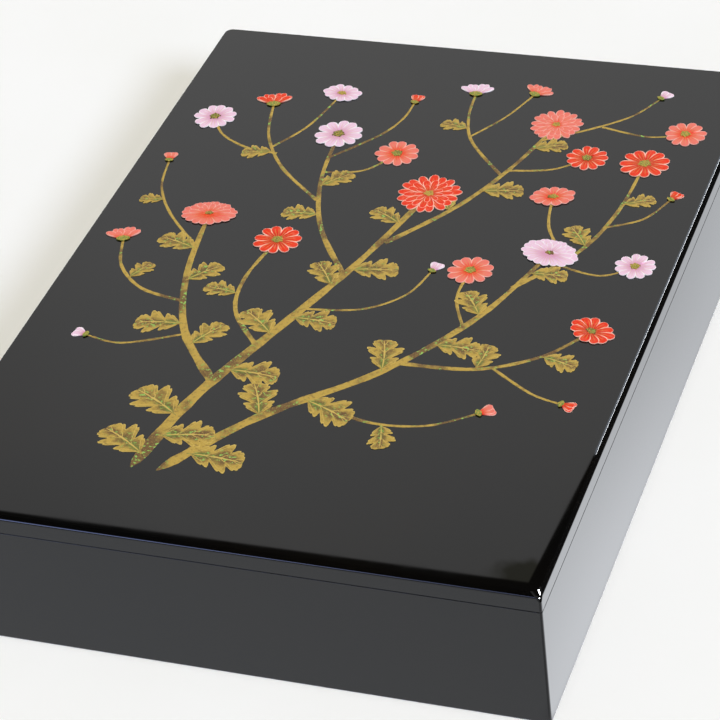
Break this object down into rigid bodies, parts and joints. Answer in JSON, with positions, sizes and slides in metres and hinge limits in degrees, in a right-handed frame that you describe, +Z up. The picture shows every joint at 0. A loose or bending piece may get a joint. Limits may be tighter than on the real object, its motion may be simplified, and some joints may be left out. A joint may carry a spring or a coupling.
{
  "type": "bunko document box",
  "caption": "Flat rectangular black-lacquered wooden document box with a flush lift-off lid that drops over a raised inner lip; the lid top carries a painted flower design.",
  "frame": {"origin": "under the middle of the closed box, on the surface that it stands on", "axes": "+X to the right along the short front, +Y to the back along the long sides, +Z up"},
  "size_m": [0.24, 0.335, 0.06],
  "materials": {
    "black_lacquer": "polished black lacquer on wood",
    "inner_lacquer": "satin black lacquer on wood",
    "spline_wood": "bare planed wood",
    "gold_paint": "sprinkled gold powder on lacquer",
    "brown_paint": "brown lacquer paint",
    "vermilion_paint": "vermilion lacquer paint",
    "coral_paint": "coral lacquer paint",
    "pale_pink_paint": "pale pink lacquer paint",
    "green_paint": "green lacquer paint"
  },
  "bodies": {
    "box": {"front_wall": "black_lacquer", "back_wall": "black_lacquer", "left_wall": "black_lacquer", "right_wall": "black_lacquer", "bottom_board": "inner_lacquer", "front_lip": "inner_lacquer", "back_lip": "inner_lacquer", "left_lip": "inner_lacquer", "right_lip": "inner_lacquer", "corner_splines": "spline_wood"},
    "lid": {"lid_top_board": "black_lacquer", "lid_front_rail": "black_lacquer", "lid_back_rail": "black_lacquer", "lid_left_rail": "black_lacquer", "lid_right_rail": "black_lacquer"}
  },
  "joints": [
    {"name": "lid_lift", "type": "slide", "parent": "box", "child": "lid", "axis": [0, 0, 1], "range_m": [0, 0.15]}
  ]
}
